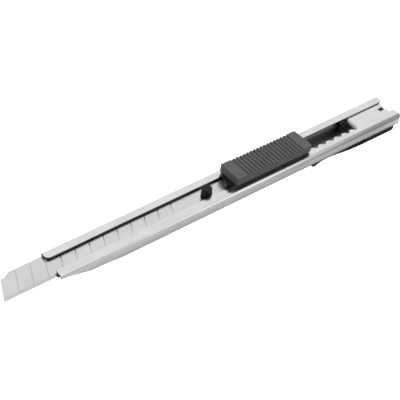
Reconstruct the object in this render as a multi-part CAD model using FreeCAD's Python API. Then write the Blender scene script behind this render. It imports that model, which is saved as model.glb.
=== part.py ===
import FreeCAD, Part
import math
import os

# A 9 mm snap-off utility knife: a folded stainless sheath, a scored blade on a
# plastic sled with a ribbed thumb grip, a lock spring and a pocket clip that
# pulls off the rear end and snaps blunt segments off the blade.
#
# Frame: +X runs from the blade's tip to the rear end, +Y towards the blade's
# spine, +Z up through the thumb grip. The origin is under the middle of the
# object, on the plane of its lowest face. Lengths along the knife are written
# as stations: the distance behind the blade's tip with the blade set as drawn.

# ---- driving dimensions, in millimetres ----
overall_length = 153.9
sheet = 0.5

sheath_front = 17.9
sheath_front_skew = 0.7
sheath_rear_skew = 0.5
sheath_half_width = 5.65
sheath_height = 4.25
fold_radius = 0.7
back_z = 2.5
slot_near_y = -2.5
slot_far_y = 2.75
slot_nose_far_y = 2.6
slot_nose_length = 7.5
slot_nose_taper = 20.0
slot_front_radius = 1.5
flange_end_radius = 1.1
heel_radius = 1.3

nose_profile = [(0, 3.3), (2.3, 3.15), (10.6, 1.1), (16.5, 1.0), (20.0, 0.55), (26.4, 0)]
nose_tongue_half_width = 4.0

ratchet_pitch = 3.45
ratchet_count = 16
ratchet_last = 135.5
ratchet_depth = 0.85
ratchet_floor_width = 0.7
ratchet_mouth_front = 1.35
ratchet_mouth_rear = 1.1
ratchet_crest_radius = 0.3

panel_front = 136.4
panel_rear = 152.2
panel_half_width = 4.5
panel_bend_radius = 1.3
slit_front = 149.5
slit_width = 1.3
slit_y = 0.15

blade_length = 80.0
blade_width = 9.0
blade_thickness = 0.38
blade_centre_y = 0.55
snap_angle = 64.0
segment_pitch = 5.0
score_count = 12
score_width = 0.3
score_depth = 0.09
bevel_width = 1.15
edge_thickness = 0.03
tip_step_depth = 1.33
tip_step_length = 1.3
tip_step_ramp = 2.2
blade_top_z = 5.87

stud_station = 74.8
stud_y = -0.45
stud_foot_radius = 1.25
stud_collar_radius = 1.75
stud_collar_rise = 0.35
stud_collar_height = 0.8
stud_neck_radius = 1.3
stud_cap_radius = 1.6
stud_hole_gap = 0.06

slide_gap = 0.05
runner_front = 68.5
runner_rear = 112.1
base_front_near = 80.4
base_near_y = -3.65
base_far_y = 4.1
base_thickness = 0.95
foot_radius = 0.9

grip_front = 83.8
grip_rear = 115.3
grip_width = 8.35
grip_y = 0.12
grip_height = 2.45
grip_top_fall = 0.3
grip_end_slope = 0.8
grip_corner = 1.1
grip_front_corner = 0.2
groove_first = 88.2
groove_pitch = 1.396
groove_count = 17
groove_width = 0.7
groove_depth = 0.42

spring_pivot = 95.0
spring_tooth = 107.9
spring_y = -1.45
spring_thickness = 0.3
spring_eye_radius = 0.45
spring_tooth_reach = 0.75

clip_half_width = 4.8
clip_rear = 152.9
clip_hinge = 139.4
clip_hinge_z = 0.62
clip_pinch = 123.0
clip_bead = 117.3
clip_bead_z = 0.5
clip_tip = 115.1
clip_thickness = 0.9
clip_pinch_gap = 0.06
clip_gap = 0.1
clip_seat_gap = 0.03

# ---- worked out from them ----
tip_x = -overall_length / 2
flange_top_z = back_z + sheath_height
flange_under_z = flange_top_z - sheet
floor_z = back_z + sheet
blade_under_z = blade_top_z - blade_thickness
edge_y = blade_centre_y - blade_width / 2
spine_y = blade_centre_y + blade_width / 2
snap_lean = 1 / math.tan(math.radians(snap_angle))
tongue_rise = blade_under_z - slide_gap - sheet - back_z
base_under_z = flange_top_z + slide_gap
grip_under_z = base_under_z + base_thickness
grip_top_z = grip_under_z + grip_height
stud_cap_top_z = blade_top_z + 2.75


def at(station):
    """X of a station, the distance behind the blade's tip."""
    return tip_x + station


def vec(x, y, z):
    return FreeCAD.Vector(x, y, z)


def box(x0, x1, y0, y1, z0, z1):
    return Part.makeBox(x1 - x0, y1 - y0, z1 - z0, vec(x0, y0, z0))


def rod(x, y, z0, z1, radius):
    return Part.makeCylinder(radius, z1 - z0, vec(x, y, z0))


def plan_prism(corners, z0, z1):
    """A closed outline in plan, raised from z0 to z1."""
    points = [vec(x, y, z0) for x, y in corners]
    face = Part.Face(Part.makePolygon(points + points[:1]))
    return face.extrude(vec(0, 0, z1 - z0))


def side_prism(corners, y0, y1):
    """A closed outline seen from the side, carried from y0 to y1."""
    points = [vec(x, y0, z) for x, z in corners]
    face = Part.Face(Part.makePolygon(points + points[:1]))
    return face.extrude(vec(0, y1 - y0, 0))


def end_prism(corners, x0, x1):
    """A closed outline seen from the end, carried from x0 to x1."""
    points = [vec(x0, y, z) for y, z in corners]
    face = Part.Face(Part.makePolygon(points + points[:1]))
    return face.extrude(vec(x1 - x0, 0, 0))


def edges_where(shape, test):
    """The straight edges whose middle point and direction pass a test."""
    found = []
    for edge in shape.Edges:
        if edge.Curve.TypeId != "Part::GeomLine":
            continue
        middle = edge.valueAt((edge.FirstParameter + edge.LastParameter) / 2)
        if test(middle, edge.Curve.Direction):
            found.append(edge)
    return found


def near(value, target):
    return abs(value - target) < 0.02


def nose_outline(lift, highest):
    """The nose's lower profile as (x, z) corners, raised by lift and capped."""
    front = at(sheath_front)
    corners = []
    for index, (distance, rise) in enumerate(nose_profile):
        if index > 0:
            last_distance, last_rise = nose_profile[index - 1]
            if last_rise > highest > rise:
                part = (last_rise - highest) / (last_rise - rise)
                crossing = last_distance + part * (distance - last_distance)
                corners.append((front + crossing, back_z + highest + lift))
        corners.append((front + distance, back_z + min(rise, highest) + lift))
    return corners


def sheath_shell():
    """The folded channel: back, two walls and two flanges beside the slot.

    At the nose the walls sweep up to the flanges, and a narrower tongue of
    the back stays under the blade.
    """
    front = at(sheath_front)
    rear = tip_x + overall_length
    side = sheath_half_width
    body = box(front, rear, -side, side, back_z, flange_top_z)
    long_edges = edges_where(body, lambda p, d: abs(d.x) > 0.99)
    body = body.makeFillet(fold_radius, long_edges)
    tongue = nose_tongue_half_width
    for highest, low_y, high_y in (
        (tongue_rise, -tongue, tongue),
        (sheath_height, -side - 1, -tongue),
        (sheath_height, tongue, side + 1),
    ):
        outline = nose_outline(0, highest)
        first_z = outline[0][1]
        end_x = outline[-1][0]
        sweep = [(front - 1, back_z - 1), (front - 1, first_z)] + outline + [(end_x, back_z - 1)]
        body = body.cut(side_prism(sweep, low_y, high_y))
    heel = box(rear - heel_radius, rear + 1, -side - 1, side + 1, back_z - 1, back_z + heel_radius)
    heel_round = Part.makeCylinder(
        heel_radius, 2 * side + 2, vec(rear - heel_radius, -side - 1, back_z + heel_radius), vec(0, 1, 0)
    )
    return body.cut(heel.cut(heel_round))


def sheath_cavity():
    """The room inside: its floor climbs at the nose to carry the blade."""
    front = at(sheath_front)
    rear = tip_x + overall_length
    inner = sheath_half_width - sheet
    outline = nose_outline(sheet, tongue_rise)
    room = [(front - 1, flange_under_z), (front - 1, outline[0][1])] + outline
    room += [(rear + 1, floor_z), (rear + 1, flange_under_z)]
    return side_prism(room, -inner, inner)


def nose_x(y):
    """X of the sheath's front end, which is cut slightly askew."""
    part = (y + sheath_half_width) / (2 * sheath_half_width)
    return at(sheath_front) + part * sheath_front_skew


def tail_x(y):
    """X of the sheath's rear end, cut slightly askew the other way."""
    part = (y + sheath_half_width) / (2 * sheath_half_width)
    return tip_x + overall_length - part * sheath_rear_skew


def askew_ends():
    """What the askew cuts take off the two ends."""
    side = sheath_half_width + 1
    front = at(sheath_front) - 1
    rear = tip_x + overall_length + 1
    nose = plan_prism([(front, -side), (nose_x(-side), -side), (nose_x(side), side), (front, side)], 0, 10)
    tail = plan_prism([(rear, -side), (tail_x(-side), -side), (tail_x(side), side), (rear, side)], 0, 10)
    return nose.fuse(tail)


def ratchet_valley(station):
    """One notch in the near flange's edge, with rounded bottom corners."""
    x = at(station)
    mouth_y = slot_near_y + 0.4
    floor_y = slot_near_y - ratchet_depth
    notch = plan_prism(
        [
            (x - ratchet_mouth_front, mouth_y),
            (x - ratchet_mouth_front, slot_near_y),
            (x - ratchet_floor_width / 2, floor_y),
            (x + ratchet_floor_width / 2, floor_y),
            (x + ratchet_mouth_rear, slot_near_y),
            (x + ratchet_mouth_rear, mouth_y),
        ],
        flange_under_z - 0.1,
        flange_top_z + 0.1,
    )
    corners = edges_where(notch, lambda p, d: abs(d.z) > 0.99 and p.y < slot_near_y - 0.1)
    return notch.makeFillet(0.3, corners)


def raised_panel():
    """The rear floor pressed up level with the flanges' undersides."""
    half = panel_half_width
    block = box(at(panel_front), at(panel_rear), -half, half, back_z, flange_under_z)
    bend = edges_where(
        block, lambda p, d: abs(d.y) > 0.99 and near(p.x, at(panel_front)) and near(p.z, flange_under_z)
    )
    return block.makeFillet(panel_bend_radius, bend)


def panel_recess():
    """The seat under the raised panel, open at the back and at the rear end."""
    half = panel_half_width - sheet
    front = at(panel_front) + sheet
    block = box(front, tip_x + overall_length + 1, -half, half, back_z - 1, flange_under_z - sheet)
    bend = edges_where(
        block,
        lambda p, d: abs(d.y) > 0.99 and near(p.x, front) and near(p.z, flange_under_z - sheet),
    )
    return block.makeFillet(panel_bend_radius - sheet, bend)


def slot_opening():
    """The slot between the flanges, narrower at the nose than behind it."""
    front = at(sheath_front)
    rear = tip_x + overall_length
    straight_end = front + slot_nose_length
    return plan_prism(
        [
            (front - 1, slot_near_y),
            (front - 1, slot_nose_far_y),
            (straight_end, slot_nose_far_y),
            (straight_end + slot_nose_taper, slot_far_y),
            (rear + 1, slot_far_y),
            (rear + 1, slot_near_y),
        ],
        flange_under_z - 0.1,
        flange_top_z + 1,
    )


def sheath():
    front = at(sheath_front)
    rear = tip_x + overall_length
    shape = sheath_shell().cut(sheath_cavity())
    shape = shape.cut(slot_opening())
    shape = shape.fuse(raised_panel())
    shape = shape.cut(panel_recess())
    slit_half = slit_width / 2
    shape = shape.cut(
        box(at(slit_front), rear + 1, slit_y - slit_half, slit_y + slit_half, floor_z, flange_top_z)
    )
    for number in range(ratchet_count):
        shape = shape.cut(ratchet_valley(ratchet_last - number * ratchet_pitch))
    shape = shape.cut(askew_ends()).removeSplitter()
    crests = edges_where(
        shape,
        lambda p, d: abs(d.z) > 0.99
        and near(p.y, slot_near_y)
        and front + 1 < p.x < at(ratchet_last + 2),
    )
    shape = shape.makeFillet(ratchet_crest_radius, crests)
    far_nose = edges_where(
        shape,
        lambda p, d: abs(d.z) > 0.99 and near(p.x, nose_x(slot_nose_far_y)) and near(p.y, slot_nose_far_y),
    )
    shape = shape.makeFillet(slot_front_radius, far_nose)
    tails = edges_where(
        shape,
        lambda p, d: abs(d.z) > 0.99
        and near(p.x, tail_x(p.y))
        and (near(p.y, slot_far_y) or near(p.y, slot_near_y)),
    )
    return shape.makeFillet(flange_end_radius, tails)


def lean(y):
    """How far behind the tip's station the snap line lies at this Y."""
    return (y - edge_y) * snap_lean


def blade_strip():
    """The whole blade before scoring: outline, two-sided grind and stud hole."""
    step_y = spine_y - tip_step_depth
    step_x = tip_x + lean(step_y) + tip_step_length
    outline = [
        (tip_x, edge_y),
        (tip_x + lean(step_y), step_y),
        (step_x, step_y),
        (step_x + tip_step_ramp, spine_y),
        (at(blade_length) + lean(spine_y), spine_y),
        (at(blade_length), edge_y),
    ]
    shape = plan_prism(outline, blade_under_z, blade_top_z)
    middle_z = (blade_under_z + blade_top_z) / 2
    half_edge = edge_thickness / 2
    for level, sign in ((blade_top_z, 1), (blade_under_z, -1)):
        grind = [
            (edge_y + bevel_width, level),
            (edge_y, middle_z + sign * half_edge),
            (edge_y - 0.1, middle_z + sign * half_edge),
            (edge_y - 0.1, level + sign * 0.1),
            (edge_y + bevel_width, level + sign * 0.1),
        ]
        shape = shape.cut(end_prism(grind, tip_x - 1, at(blade_length) + 6))
    hole = rod(at(stud_station), stud_y, blade_under_z - 1, blade_top_z + 1, stud_foot_radius + stud_hole_gap)
    return shape.cut(hole)


def between_scores(front, rear):
    """The slab between two score lines, broken along both top edges.

    Two neighbours' broken edges make one V-shaped score from the spine to
    the ground bevel. Below it the neighbours meet face to face.
    """
    y0 = edge_y - 1
    y1 = spine_y + 1
    low = blade_under_z - 1
    root = blade_top_z - score_depth
    half = score_width / 2
    slab = plan_prism(
        [
            (at(front) + lean(y0), y0),
            (at(rear) + lean(y0), y0),
            (at(rear) + lean(y1), y1),
            (at(front) + lean(y1), y1),
        ],
        low,
        blade_top_z + 1,
    )
    score_start = edge_y + bevel_width * 0.9
    for station, side in ((front, 1), (rear, -1)):
        rims = []
        for y in (score_start, y1):
            x = at(station) + lean(y)
            rim = [
                vec(x - side, y, root),
                vec(x, y, root),
                vec(x + side * half, y, blade_top_z),
                vec(x + side * half, y, blade_top_z + 2),
                vec(x - side, y, blade_top_z + 2),
            ]
            rims.append(Part.makePolygon(rim + rim[:1]))
        slab = slab.cut(Part.makeLoft(rims, True, True))
    return slab


def blade_pieces():
    """The snap-off segments from the tip back, and the unscored tang."""
    strip = blade_strip()
    pieces = {}
    for number in range(1, score_count + 1):
        front = (number - 1) * segment_pitch
        if number == 1:
            front = -segment_pitch
        slab = between_scores(front, number * segment_pitch)
        pieces["blade_segment_%02d" % number] = strip.common(slab)
    slab = between_scores(score_count * segment_pitch, blade_length + segment_pitch)
    pieces["blade_tang"] = strip.common(slab)
    return pieces


def stud():
    """The peg in the blade's hole: a foot, a raised collar, a neck and a cap."""
    x = at(stud_station)
    foot_z = blade_under_z - slide_gap
    collar_z = blade_top_z + stud_collar_rise
    collar_top_z = collar_z + stud_collar_height
    foot = rod(x, stud_y, foot_z, collar_top_z, stud_foot_radius)
    collar = rod(x, stud_y, collar_z, collar_top_z, stud_collar_radius)
    rims = [edge for edge in collar.Edges if edge.BoundBox.ZLength < 0.01]
    collar = collar.makeFillet(0.2, rims)
    neck = rod(x, stud_y, collar_z, blade_top_z + 1.7, stud_neck_radius)
    cap = rod(x, stud_y, blade_top_z + 1.35, stud_cap_top_z, stud_cap_radius)
    rim = [edge for edge in cap.Edges if near(edge.BoundBox.ZMin, stud_cap_top_z)]
    cap = cap.makeFillet(0.2, rim)
    return foot.fuse([collar, neck, cap]).removeSplitter()


def sled():
    """The moulding that carries the blade and rides in and on the sheath."""
    inner = sheath_half_width - sheet - 2 * slide_gap
    low_z = floor_z + slide_gap
    under_blade_z = blade_under_z - slide_gap
    under_flange_z = flange_under_z - slide_gap
    heel_gap = 0.15
    runner = box(at(runner_front), at(runner_rear), -inner, inner, low_z, under_blade_z)
    nose_edges = edges_where(runner, lambda p, d: abs(d.z) > 0.99 and near(p.x, at(runner_front)))
    runner = runner.makeFillet(1.5, nose_edges)
    back_of_blade = at(blade_length) + heel_gap
    block = plan_prism(
        [
            (back_of_blade + lean(-inner), -inner),
            (back_of_blade + lean(inner), inner),
            (at(runner_rear), inner),
            (at(runner_rear), -inner),
        ],
        low_z,
        under_flange_z,
    )
    neck_near = slot_near_y + 2 * slide_gap
    neck_far = slot_far_y - 2 * slide_gap
    neck = plan_prism(
        [
            (back_of_blade + lean(neck_near), neck_near),
            (back_of_blade + lean(neck_far), neck_far),
            (at(runner_rear), neck_far),
            (at(runner_rear), neck_near),
        ],
        under_flange_z - 0.5,
        grip_under_z,
    )
    base_far_x = at(base_front_near) + lean(base_far_y) - lean(base_near_y)
    base = plan_prism(
        [
            (at(base_front_near), base_near_y),
            (base_far_x, base_far_y),
            (at(runner_rear), base_far_y),
            (at(runner_rear), base_near_y),
        ],
        base_under_z,
        grip_under_z,
    )
    foot_corner = edges_where(base, lambda p, d: abs(d.z) > 0.99 and near(p.x, at(base_front_near)))
    base = base.makeFillet(foot_radius, foot_corner)
    foot_x = at(base_front_near)
    notch_y = base_near_y + 0.45
    notch = box(foot_x - 1, foot_x + 1.9, notch_y, neck_near - 0.05, base_under_z - 1, grip_under_z + 1)
    base = base.cut(notch)
    shape = runner.fuse([block, neck, base])
    pocket = box(
        at(spring_pivot),
        at(spring_tooth) + 2.2,
        neck_near - 0.1,
        spring_y + 0.55,
        under_flange_z,
        base_under_z,
    )
    seat = rod(at(spring_pivot), spring_y, under_flange_z, base_under_z, spring_eye_radius + slide_gap)
    shape = shape.cut(pocket.fuse(seat))
    return shape.removeSplitter()


def grip_top_at(x):
    """The grip's top, which falls slightly towards the rear."""
    part = (x - at(grip_front)) / (grip_rear - grip_front)
    return grip_top_z + grip_top_fall * (0.6 - part)


def grip():
    """The ribbed thumb piece, with broken corners and a leaning rear end."""
    near_y = grip_y - grip_width / 2
    far_y = grip_y + grip_width / 2
    front = at(grip_front)
    rear = at(grip_rear)
    side = [
        (front, grip_under_z),
        (front + 0.15, grip_top_at(front)),
        (rear - grip_end_slope, grip_top_at(rear)),
        (rear, grip_under_z),
    ]
    shape = side_prism(side, near_y, far_y)
    plan = plan_prism(
        [
            (front - 0.1, near_y + 0.5),
            (front + 0.4, near_y - 0.1),
            (rear - grip_corner, near_y - 0.1),
            (rear + 0.1, near_y + grip_corner),
            (rear + 0.1, far_y - grip_corner),
            (rear - grip_corner, far_y + 0.1),
            (front + grip_front_corner, far_y + 0.1),
            (front - 0.1, far_y - grip_front_corner),
        ],
        grip_under_z - 1,
        grip_top_z + 1,
    )
    shape = shape.common(plan)
    for number in range(groove_count):
        x = at(groove_first + number * groove_pitch)
        floor = grip_top_at(x) - groove_depth
        half = groove_width / 2
        shape = shape.cut(box(x - half, x + half, near_y - 1, far_y + 1, floor, grip_top_z + 1))
    return shape


def lock_spring():
    """A steel leaf with a rolled eye and a tooth that drops in the ratchet."""
    low_z = flange_under_z + 0.02
    high_z = flange_top_z - 0.04
    x0 = at(spring_pivot)
    x1 = at(spring_tooth)
    half = spring_thickness / 2
    eye = rod(x0, spring_y, low_z, high_z, spring_eye_radius)
    leaf = box(x0, x1 + 0.6, spring_y - half, spring_y + half, low_z, high_z)
    tooth_y = spring_y - half - spring_tooth_reach
    tooth = plan_prism(
        [
            (x1 - 0.6, spring_y),
            (x1 + 0.6, spring_y),
            (x1 + 0.3, tooth_y),
            (x1 - 0.3, tooth_y),
        ],
        low_z,
        high_z,
    )
    return eye.fuse([leaf, tooth]).removeSplitter()


def clip_root():
    """The clip's head: a foot under the sheath and a tenon in its recess."""
    half = clip_half_width
    front = at(clip_hinge)
    rear = at(clip_rear)
    foot = box(front, rear, -half, half, 0, back_z - clip_gap)
    heel = edges_where(foot, lambda p, d: abs(d.y) > 0.99 and near(p.x, rear) and near(p.z, 0))
    foot = foot.makeFillet(1.0, heel)
    tenon_half = panel_half_width - sheet - clip_gap
    tenon_top = flange_under_z - sheet - clip_gap
    tenon = box(front, at(panel_rear) - 0.3, -tenon_half, tenon_half, back_z - 1, tenon_top)
    lug_half = slit_width / 2 - 0.05
    lug = box(
        at(slit_front) + clip_gap,
        at(panel_rear) - 0.3,
        slit_y - lug_half,
        slit_y + lug_half,
        tenon_top - 0.5,
        flange_under_z - 0.3,
    )
    shape = foot.fuse([tenon, lug])
    seat_radius = clip_hinge_z + clip_seat_gap
    bore = Part.makeCylinder(seat_radius, 2 * half + 2, vec(front, -half - 1, clip_hinge_z), vec(0, 1, 0))
    throat = box(front - 1, front + seat_radius, -half - 1, half + 1, -1, clip_hinge_z)
    shape = shape.cut(bore.fuse(throat))
    return shape.removeSplitter()


def clip_arm():
    """The springy arm: it nears the sheath's back and ends in a lifting bead."""
    root_x = at(clip_hinge)
    pinch_x = at(clip_pinch)
    bead_x = at(clip_bead)
    end_x = at(clip_tip)
    pinch_top = back_z - clip_pinch_gap
    pinch_low = pinch_top - clip_thickness
    lip_z = pinch_top - 0.5
    half = clip_half_width
    low = Part.BSplineCurve()
    low.interpolate(
        [
            vec(root_x, 0, 0),
            vec(root_x - 2.5, 0, 0.1),
            vec(root_x - 6.5, 0, 0.36),
            vec(root_x - 10.5, 0, 0.86),
            vec(pinch_x, 0, pinch_low),
            vec(bead_x + 2.2, 0, pinch_low - 0.25),
            vec(bead_x, 0, clip_bead_z),
        ]
    )
    high = Part.BSplineCurve()
    high.interpolate(
        Points=[
            vec(pinch_x + 1.2, 0, pinch_top),
            vec(root_x - 10.5, 0, 0.84 + clip_thickness),
            vec(root_x - 6.5, 0, 0.38 + clip_thickness),
            vec(root_x, 0, 2 * clip_hinge_z),
        ],
        InitialTangent=vec(1, 0, 0),
        FinalTangent=vec(1, 0, 0),
    )
    bead_bottom = vec(bead_x, 0, clip_bead_z)
    lip_low = vec(end_x + 0.1, 0, lip_z - 0.2)
    lip_front = vec(end_x, 0, lip_z + 0.05)
    lip_high = vec(end_x + 0.3, 0, lip_z + 0.2)
    flat_start = vec(bead_x + 1.5, 0, pinch_top)
    flat_end = vec(pinch_x + 1.2, 0, pinch_top)
    root_low = vec(root_x, 0, 0)
    root_back = vec(root_x + clip_hinge_z, 0, clip_hinge_z)
    root_high = vec(root_x, 0, 2 * clip_hinge_z)
    outline = [
        low.toShape(),
        Part.Arc(bead_bottom, vec(bead_x - 0.9, 0, 0.68), lip_low).toShape(),
        Part.Arc(lip_low, lip_front, lip_high).toShape(),
        Part.makeLine(lip_high, flat_start),
        Part.makeLine(flat_start, flat_end),
        high.toShape(),
        Part.Arc(root_high, root_back, root_low).toShape(),
    ]
    wire = Part.Wire(outline)
    arm = Part.Face(wire).extrude(vec(0, 2 * half, 0))
    arm.translate(vec(0, -half, 0))
    return arm


os.makedirs("parts", exist_ok=True)
nodes = {
    "sheath": sheath(),
    "blade_stud": stud(),
    "sled": sled(),
    "thumb_grip": grip(),
    "lock_spring": lock_spring(),
    "clip_root": clip_root(),
    "clip_arm": clip_arm(),
}
nodes.update(blade_pieces())
for name, shape in nodes.items():
    print(name, shape.isValid(), len(shape.Solids), round(shape.Volume, 2), shape.optimalBoundingBox())
    shape.exportStep("parts/" + name + ".step")
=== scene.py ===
import math

import bpy
from mathutils import Matrix, Vector


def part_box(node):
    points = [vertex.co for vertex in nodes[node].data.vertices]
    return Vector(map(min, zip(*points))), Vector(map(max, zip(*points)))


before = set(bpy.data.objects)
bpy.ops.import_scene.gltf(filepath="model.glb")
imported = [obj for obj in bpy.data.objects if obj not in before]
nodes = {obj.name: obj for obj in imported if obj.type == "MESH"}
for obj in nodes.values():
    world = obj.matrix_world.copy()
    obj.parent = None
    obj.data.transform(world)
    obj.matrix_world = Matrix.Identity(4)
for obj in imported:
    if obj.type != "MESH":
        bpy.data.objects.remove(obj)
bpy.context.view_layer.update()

mm = 0.001

# ---- the photograph's view ----
lens_mm = 127.15
sensor_mm = 36.0
view_distance = 424.7 * mm
view_target = Vector((-5.24, -1.23, 5.84)) * mm
view_heading = 44.97
view_elevation = 42.14
view_roll = 8.4


def direction(azimuth, elevation):
    """The unit vector at an azimuth from +X and an elevation, in degrees."""
    a = math.radians(azimuth)
    e = math.radians(elevation)
    return Vector((math.cos(a) * math.cos(e), math.sin(a) * math.cos(e), math.sin(e)))


def add_camera():
    forward = direction(view_heading, -view_elevation)
    level_right = direction(view_heading - 90, 0)
    right = Matrix.Rotation(-math.radians(view_roll), 3, forward) @ level_right
    up = right.cross(forward)
    data = bpy.data.cameras.new("camera")
    data.lens = lens_mm
    data.sensor_width = sensor_mm
    data.clip_start = 0.01
    data.clip_end = 20
    camera = bpy.data.objects.new("camera", data)
    place = view_target - forward * view_distance
    camera.matrix_world = Matrix(
        (
            (right.x, up.x, -forward.x, place.x),
            (right.y, up.y, -forward.y, place.y),
            (right.z, up.z, -forward.z, place.z),
            (0, 0, 0, 1),
        )
    )
    bpy.context.collection.objects.link(camera)
    bpy.context.scene.camera = camera


# ---- sizes shared with the design, in metres ----
sheath_low, sheath_high = (Vector(corner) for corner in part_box("sheath"))
sheet = 0.5 * mm
panel_length = 17.5 * mm
flange_top = sheath_high.z
flange_under = flange_top - sheet
inner_half = sheath_high.y - sheet
panel_front = sheath_high.x - panel_length


# ---- materials ----
class Surface:
    """A node material under construction."""

    def __init__(self, name, color, roughness, metallic=0.0, specular=0.5):
        self.material = bpy.data.materials.new(name)
        self.material.use_nodes = True
        self.tree = self.material.node_tree
        self.shader = self.tree.nodes["Principled BSDF"]
        self.shader.inputs["Base Color"].default_value = (*color, 1)
        self.shader.inputs["Roughness"].default_value = roughness
        self.shader.inputs["Metallic"].default_value = metallic
        self.shader.inputs["Specular IOR Level"].default_value = specular
        self.color = None

    def link(self, source, target):
        self.tree.links.new(source, target)

    def noise(self, stretch, detail=3.0, rough=0.6):
        """Noise in object space, with so many cells per metre along each axis."""
        coords = self.tree.nodes.new("ShaderNodeTexCoord")
        mapping = self.tree.nodes.new("ShaderNodeMapping")
        mapping.inputs["Scale"].default_value = stretch
        node = self.tree.nodes.new("ShaderNodeTexNoise")
        node.inputs["Scale"].default_value = 1.0
        node.inputs["Detail"].default_value = detail
        node.inputs["Roughness"].default_value = rough
        self.link(coords.outputs["Object"], mapping.inputs["Vector"])
        self.link(mapping.outputs["Vector"], node.inputs["Vector"])
        return node.outputs["Fac"]

    def axis(self, name, output="Object"):
        """One object-space coordinate, or one component of the normal."""
        coords = self.tree.nodes.new("ShaderNodeTexCoord")
        split = self.tree.nodes.new("ShaderNodeSeparateXYZ")
        self.link(coords.outputs[output], split.inputs["Vector"])
        return split.outputs[name]

    def spread(self, source, low, high, start=0.3, stop=0.7):
        """Maps a pattern's range start..stop to the range low..high."""
        node = self.tree.nodes.new("ShaderNodeMapRange")
        node.inputs["From Min"].default_value = start
        node.inputs["From Max"].default_value = stop
        node.inputs["To Min"].default_value = low
        node.inputs["To Max"].default_value = high
        self.link(source, node.inputs["Value"])
        return node.outputs["Result"]

    def above(self, source, level, soft=0.02 * mm):
        """1 above a level and 0 below it, changing over from soft below to soft above."""
        return self.spread(source, 0.0, 1.0, level - soft, level + soft)

    def below(self, source, level, soft=0.02 * mm):
        """The reverse of above."""
        return self.spread(source, 1.0, 0.0, level - soft, level + soft)

    def calc(self, operation, first, second=None):
        node = self.tree.nodes.new("ShaderNodeMath")
        node.operation = operation
        self.link(first, node.inputs[0])
        if second is not None:
            self.link(second, node.inputs[1])
        return node.outputs["Value"]

    def every(self, *masks):
        """The product of several masks."""
        result = masks[0]
        for mask in masks[1:]:
            result = self.calc("MULTIPLY", result, mask)
        return result

    def tint(self, source, dark, light):
        """Colours the surface between two colours by a pattern."""
        node = self.tree.nodes.new("ShaderNodeValToRGB")
        node.color_ramp.elements[0].position = 0.3
        node.color_ramp.elements[1].position = 0.7
        node.color_ramp.elements[0].color = (*dark, 1)
        node.color_ramp.elements[1].color = (*light, 1)
        self.link(source, node.inputs["Fac"])
        self.color = node.outputs["Color"]
        self.link(self.color, self.shader.inputs["Base Color"])

    def stain(self, mask, color):
        """Changes the colour where a mask is 1."""
        node = self.tree.nodes.new("ShaderNodeMix")
        node.data_type = "RGBA"
        node.inputs[7].default_value = (*color, 1)
        self.link(mask, node.inputs[0])
        self.link(self.color, node.inputs[6])
        self.color = node.outputs[2]
        self.link(self.color, self.shader.inputs["Base Color"])

    def rough(self, source):
        self.link(source, self.shader.inputs["Roughness"])

    def bump(self, source, depth, strength):
        node = self.tree.nodes.new("ShaderNodeBump")
        node.inputs["Strength"].default_value = strength
        node.inputs["Distance"].default_value = depth
        self.link(source, node.inputs["Height"])
        self.link(node.outputs["Normal"], self.shader.inputs["Normal"])


line_depth = 0.003 * mm
grinding_depth = 0.002 * mm
grain_depth = 0.02 * mm
grain_per_metre = 9000
# Painted shade on the cut edges, over the darker tone of their rough blanked face.
cut_edge_and_shade_dark = (0.09, 0.09, 0.092)
# Painted reflection on the rear of the near fold.
fold_reflection_dark = (0.3, 0.3, 0.302)
# Painted shade inside the channel.
inside_shade_dark = (0.43, 0.43, 0.434)


def stainless():
    """Rolled stainless strip: fine lines along the knife and faint clouding.

    Four places are darkened by position to match the photograph's tones: the
    slot's edges, the nose end, the rear of the near fold, which stands in for a
    reflection, and the inside of the channel. The last goes by height, so it
    also takes in the underside of the nose where that rises.
    """
    s = Surface("stainless", (0.72, 0.72, 0.72), 0.24, 1.0)
    lines = s.noise((60, 9000, 9000), 2.0, 0.5)
    clouds = s.noise((160, 420, 420), 3.0, 0.6)
    s.tint(clouds, (0.68, 0.68, 0.68), (0.76, 0.76, 0.76))
    across = s.calc("ABSOLUTE", s.axis("Y"))
    flatness = s.calc("ABSOLUTE", s.axis("Z", "Normal"))
    # Painted shade on the slot's steep cut edges, partly their own rough blanked face.
    sheared_edge_shade = s.every(
        s.below(flatness, 0.6, 0.15),
        s.below(across, inner_half - 1.2 * mm),
        s.above(s.axis("Z"), flange_under - 0.1 * mm),
    )
    s.stain(sheared_edge_shade, cut_edge_and_shade_dark)
    endwise = s.calc("ABSOLUTE", s.axis("X", "Normal"))
    # Painted shade on the end faces at the nose.
    nose_end_shade = s.every(s.above(endwise, 0.8, 0.1), s.below(s.axis("X"), sheath_low.x + 2.2 * mm))
    s.stain(nose_end_shade, cut_edge_and_shade_dark)
    # Painted reflection: the rear of the near fold is darkened where a dark reflection falls.
    fold_reflection_mask = s.every(
        s.below(s.axis("Y"), -inner_half + 0.25 * mm, 0.15 * mm),
        s.above(s.axis("Z"), flange_top - 1.6 * mm, 0.3 * mm),
        s.above(s.axis("X"), 38 * mm, 26 * mm),
    )
    s.stain(fold_reflection_mask, fold_reflection_dark)
    # Painted shade over the inside of the channel, and over the nose underside where it rises.
    inside = s.every(
        s.above(s.axis("Z"), sheath_low.z + 0.3 * mm),
        s.below(s.axis("Z"), flange_under + 0.02 * mm),
        s.below(across, inner_half + 0.2 * mm),
        s.below(s.axis("X"), panel_front + 0.9 * mm, 0.5 * mm),
    )
    s.stain(inside, inside_shade_dark)
    s.rough(s.spread(lines, 0.15, 0.27))
    s.bump(lines, line_depth, 0.5)
    return s.material


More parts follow.
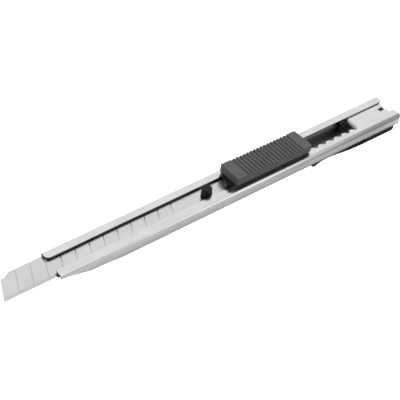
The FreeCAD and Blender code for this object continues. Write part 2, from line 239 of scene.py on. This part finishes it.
def blade_steel():
    """Ground carbon steel: lines along the blade and a duller cutting edge."""
    s = Surface("blade_steel", (0.66, 0.66, 0.67), 0.16, 1.0)
    lines = s.noise((50, 14000, 14000), 2.0, 0.5)
    clouds = s.noise((120, 300, 300), 3.0, 0.6)
    s.tint(clouds, (0.63, 0.63, 0.64), (0.69, 0.69, 0.7))
    flatness = s.calc("ABSOLUTE", s.axis("Z", "Normal"))
    s.stain(s.below(flatness, 0.992, 0.004), (0.6, 0.6, 0.61))
    s.rough(s.spread(lines, 0.17, 0.29))
    s.bump(lines, grinding_depth, 0.4)
    return s.material


def spring_steel():
    """Bluish spring strip with fine lines along the knife."""
    s = Surface("spring_steel", (0.5, 0.51, 0.54), 0.3, 1.0)
    lines = s.noise((80, 7000, 7000), 2.0, 0.5)
    s.tint(s.noise((500, 500, 500)), (0.42, 0.43, 0.46), (0.56, 0.57, 0.6))
    s.rough(s.spread(lines, 0.22, 0.38))
    s.bump(lines, line_depth, 0.4)
    return s.material


def plastic(name, color, roughness, specular):
    """Moulded plastic with a fine spark-eroded grain."""
    s = Surface(name, color, roughness, 0.0, specular)
    fine = s.noise((grain_per_metre,) * 3, 3.0, 0.6)
    broad = s.noise((260, 260, 260), 3.0, 0.5)
    dark = tuple(c * 0.88 for c in color)
    light = tuple(c * 1.12 for c in color)
    s.tint(broad, dark, light)
    s.rough(s.spread(fine, roughness - 0.07, roughness + 0.07))
    s.bump(fine, grain_depth, 0.35)
    return s.material


weld_distance = 0.001 * mm
bevel_from_degrees = 32


def dress(name, material, width, segments=2):
    """A CAD node keeps its shape and gets a material and softened edges."""
    node = nodes[name]
    node.data.materials.clear()
    node.data.materials.append(material)
    weld = node.modifiers.new("weld", "WELD")
    weld.merge_threshold = weld_distance
    bevel = node.modifiers.new("bevel", "BEVEL")
    bevel.width = width
    bevel.segments = segments
    bevel.limit_method = "ANGLE"
    bevel.angle_limit = math.radians(bevel_from_degrees)
    bevel.harden_normals = True
    bevel.use_clamp_overlap = True


def dress_all():
    sheath_steel = stainless()
    ground_steel = blade_steel()
    sled_black = plastic("sled_plastic", (0.006, 0.006, 0.0065), 0.4, 0.22)
    grip_grey = plastic("grip_plastic", (0.07, 0.074, 0.072), 0.5, 0.4)
    clip_black = plastic("clip_plastic", (0.009, 0.009, 0.0095), 0.4, 0.25)
    dress("sheath", sheath_steel, 0.06 * mm)
    dress("sled", sled_black, 0.12 * mm)
    dress("thumb_grip", grip_grey, 0.14 * mm)
    dress("blade_stud", sled_black, 0.05 * mm)
    dress("clip_root", clip_black, 0.15 * mm)
    dress("clip_arm", clip_black, 0.15 * mm)
    dress("lock_spring", spring_steel(), 0.04 * mm)
    for name in nodes:
        if name.startswith("blade_segment") or name == "blade_tang":
            dress(name, ground_steel, 0.012 * mm, 1)


# ---- stage and light ----
half_stage = 3.0
backdrop_height = -0.02 * mm
paper_height = -0.01 * mm


def add_sheet(name, height, material):
    """A large flat square at a height."""
    data = bpy.data.meshes.new(name)
    turns = [(-1, -1), (1, -1), (1, 1), (-1, 1)]
    corners = [(x * half_stage, y * half_stage, height) for x, y in turns]
    data.from_pydata(corners, [], [(0, 1, 2, 3)])
    sheet = bpy.data.objects.new(name, data)
    bpy.context.collection.objects.link(sheet)
    data.materials.append(material)
    return sheet


def add_floor():
    """A shadowless white backdrop that only the camera sees, and the paper that the knife reflects."""
    white = Surface("backdrop", (1, 1, 1), 1.0)
    white.shader.inputs["Emission Color"].default_value = (1, 1, 1, 1)
    white.shader.inputs["Emission Strength"].default_value = 1.1
    backdrop = add_sheet("backdrop", backdrop_height, white.material)
    backdrop.visible_diffuse = False
    backdrop.visible_glossy = False
    backdrop.visible_transmission = False
    backdrop.visible_shadow = False
    paper = Surface("paper", (0.6, 0.6, 0.6), 0.9)
    floor = add_sheet("floor", paper_height, paper.material)
    floor.visible_camera = False


def add_softbox(name, place, size, watts):
    """A square lamp aimed at the knife, which isn't reflected in it."""
    data = bpy.data.lights.new(name, "AREA")
    data.shape = "SQUARE"
    data.size = size
    data.energy = watts
    lamp = bpy.data.objects.new(name, data)
    lamp.location = place
    toward = Vector((0, 0, 0)) - Vector(place)
    lamp.rotation_euler = toward.to_track_quat("-Z", "Y").to_euler()
    lamp.visible_glossy = False
    bpy.context.collection.objects.link(lamp)


def add_world():
    """A tent of white cloth, with darker and brighter round patches."""
    world = bpy.data.worlds.new("world")
    world.use_nodes = True
    tree = world.node_tree
    background = tree.nodes["Background"]
    background.inputs["Color"].default_value = (1, 1, 1, 1)
    coords = tree.nodes.new("ShaderNodeTexCoord")
    level = None
    for azimuth, elevation, inner, outer, change in world_panels:
        dot = tree.nodes.new("ShaderNodeVectorMath")
        dot.operation = "DOT_PRODUCT"
        dot.inputs[1].default_value = direction(azimuth, elevation)
        tree.links.new(coords.outputs["Generated"], dot.inputs[0])
        reach = tree.nodes.new("ShaderNodeMapRange")
        reach.interpolation_type = "SMOOTHSTEP"
        reach.inputs["From Min"].default_value = math.cos(math.radians(outer))
        reach.inputs["From Max"].default_value = math.cos(math.radians(inner))
        reach.inputs["To Min"].default_value = 0.0
        reach.inputs["To Max"].default_value = change
        tree.links.new(dot.outputs["Value"], reach.inputs["Value"])
        total = tree.nodes.new("ShaderNodeMath")
        total.operation = "ADD"
        total.inputs[1].default_value = world_level
        tree.links.new(reach.outputs["Result"], total.inputs[0])
        if level is not None:
            tree.links.new(level, total.inputs[1])
        level = total.outputs["Value"]
    floored = tree.nodes.new("ShaderNodeMath")
    floored.operation = "MAXIMUM"
    floored.inputs[1].default_value = world_floor
    tree.links.new(level, floored.inputs[0])
    tree.links.new(floored.outputs["Value"], background.inputs["Strength"])
    bpy.context.scene.world = world


world_level = 0.98
world_floor = 0.02
# each panel: azimuth, elevation, full-strength radius and outer radius in degrees, change
world_panels = [
    (-45, 42, 5, 14, -0.2),
    (5, 60, 6, 18, -0.3),
    (-54, 22, 10, 28, 0.5),
    (-110, 20, 15, 50, -0.5),
    (142, 30, 15, 35, -0.45),
]


dress_all()
add_floor()
add_softbox("back_softbox", (-0.25, 0.54, 1.04), 0.35, 7)
add_world()
add_camera()
bpy.context.scene.view_settings.view_transform = "Standard"
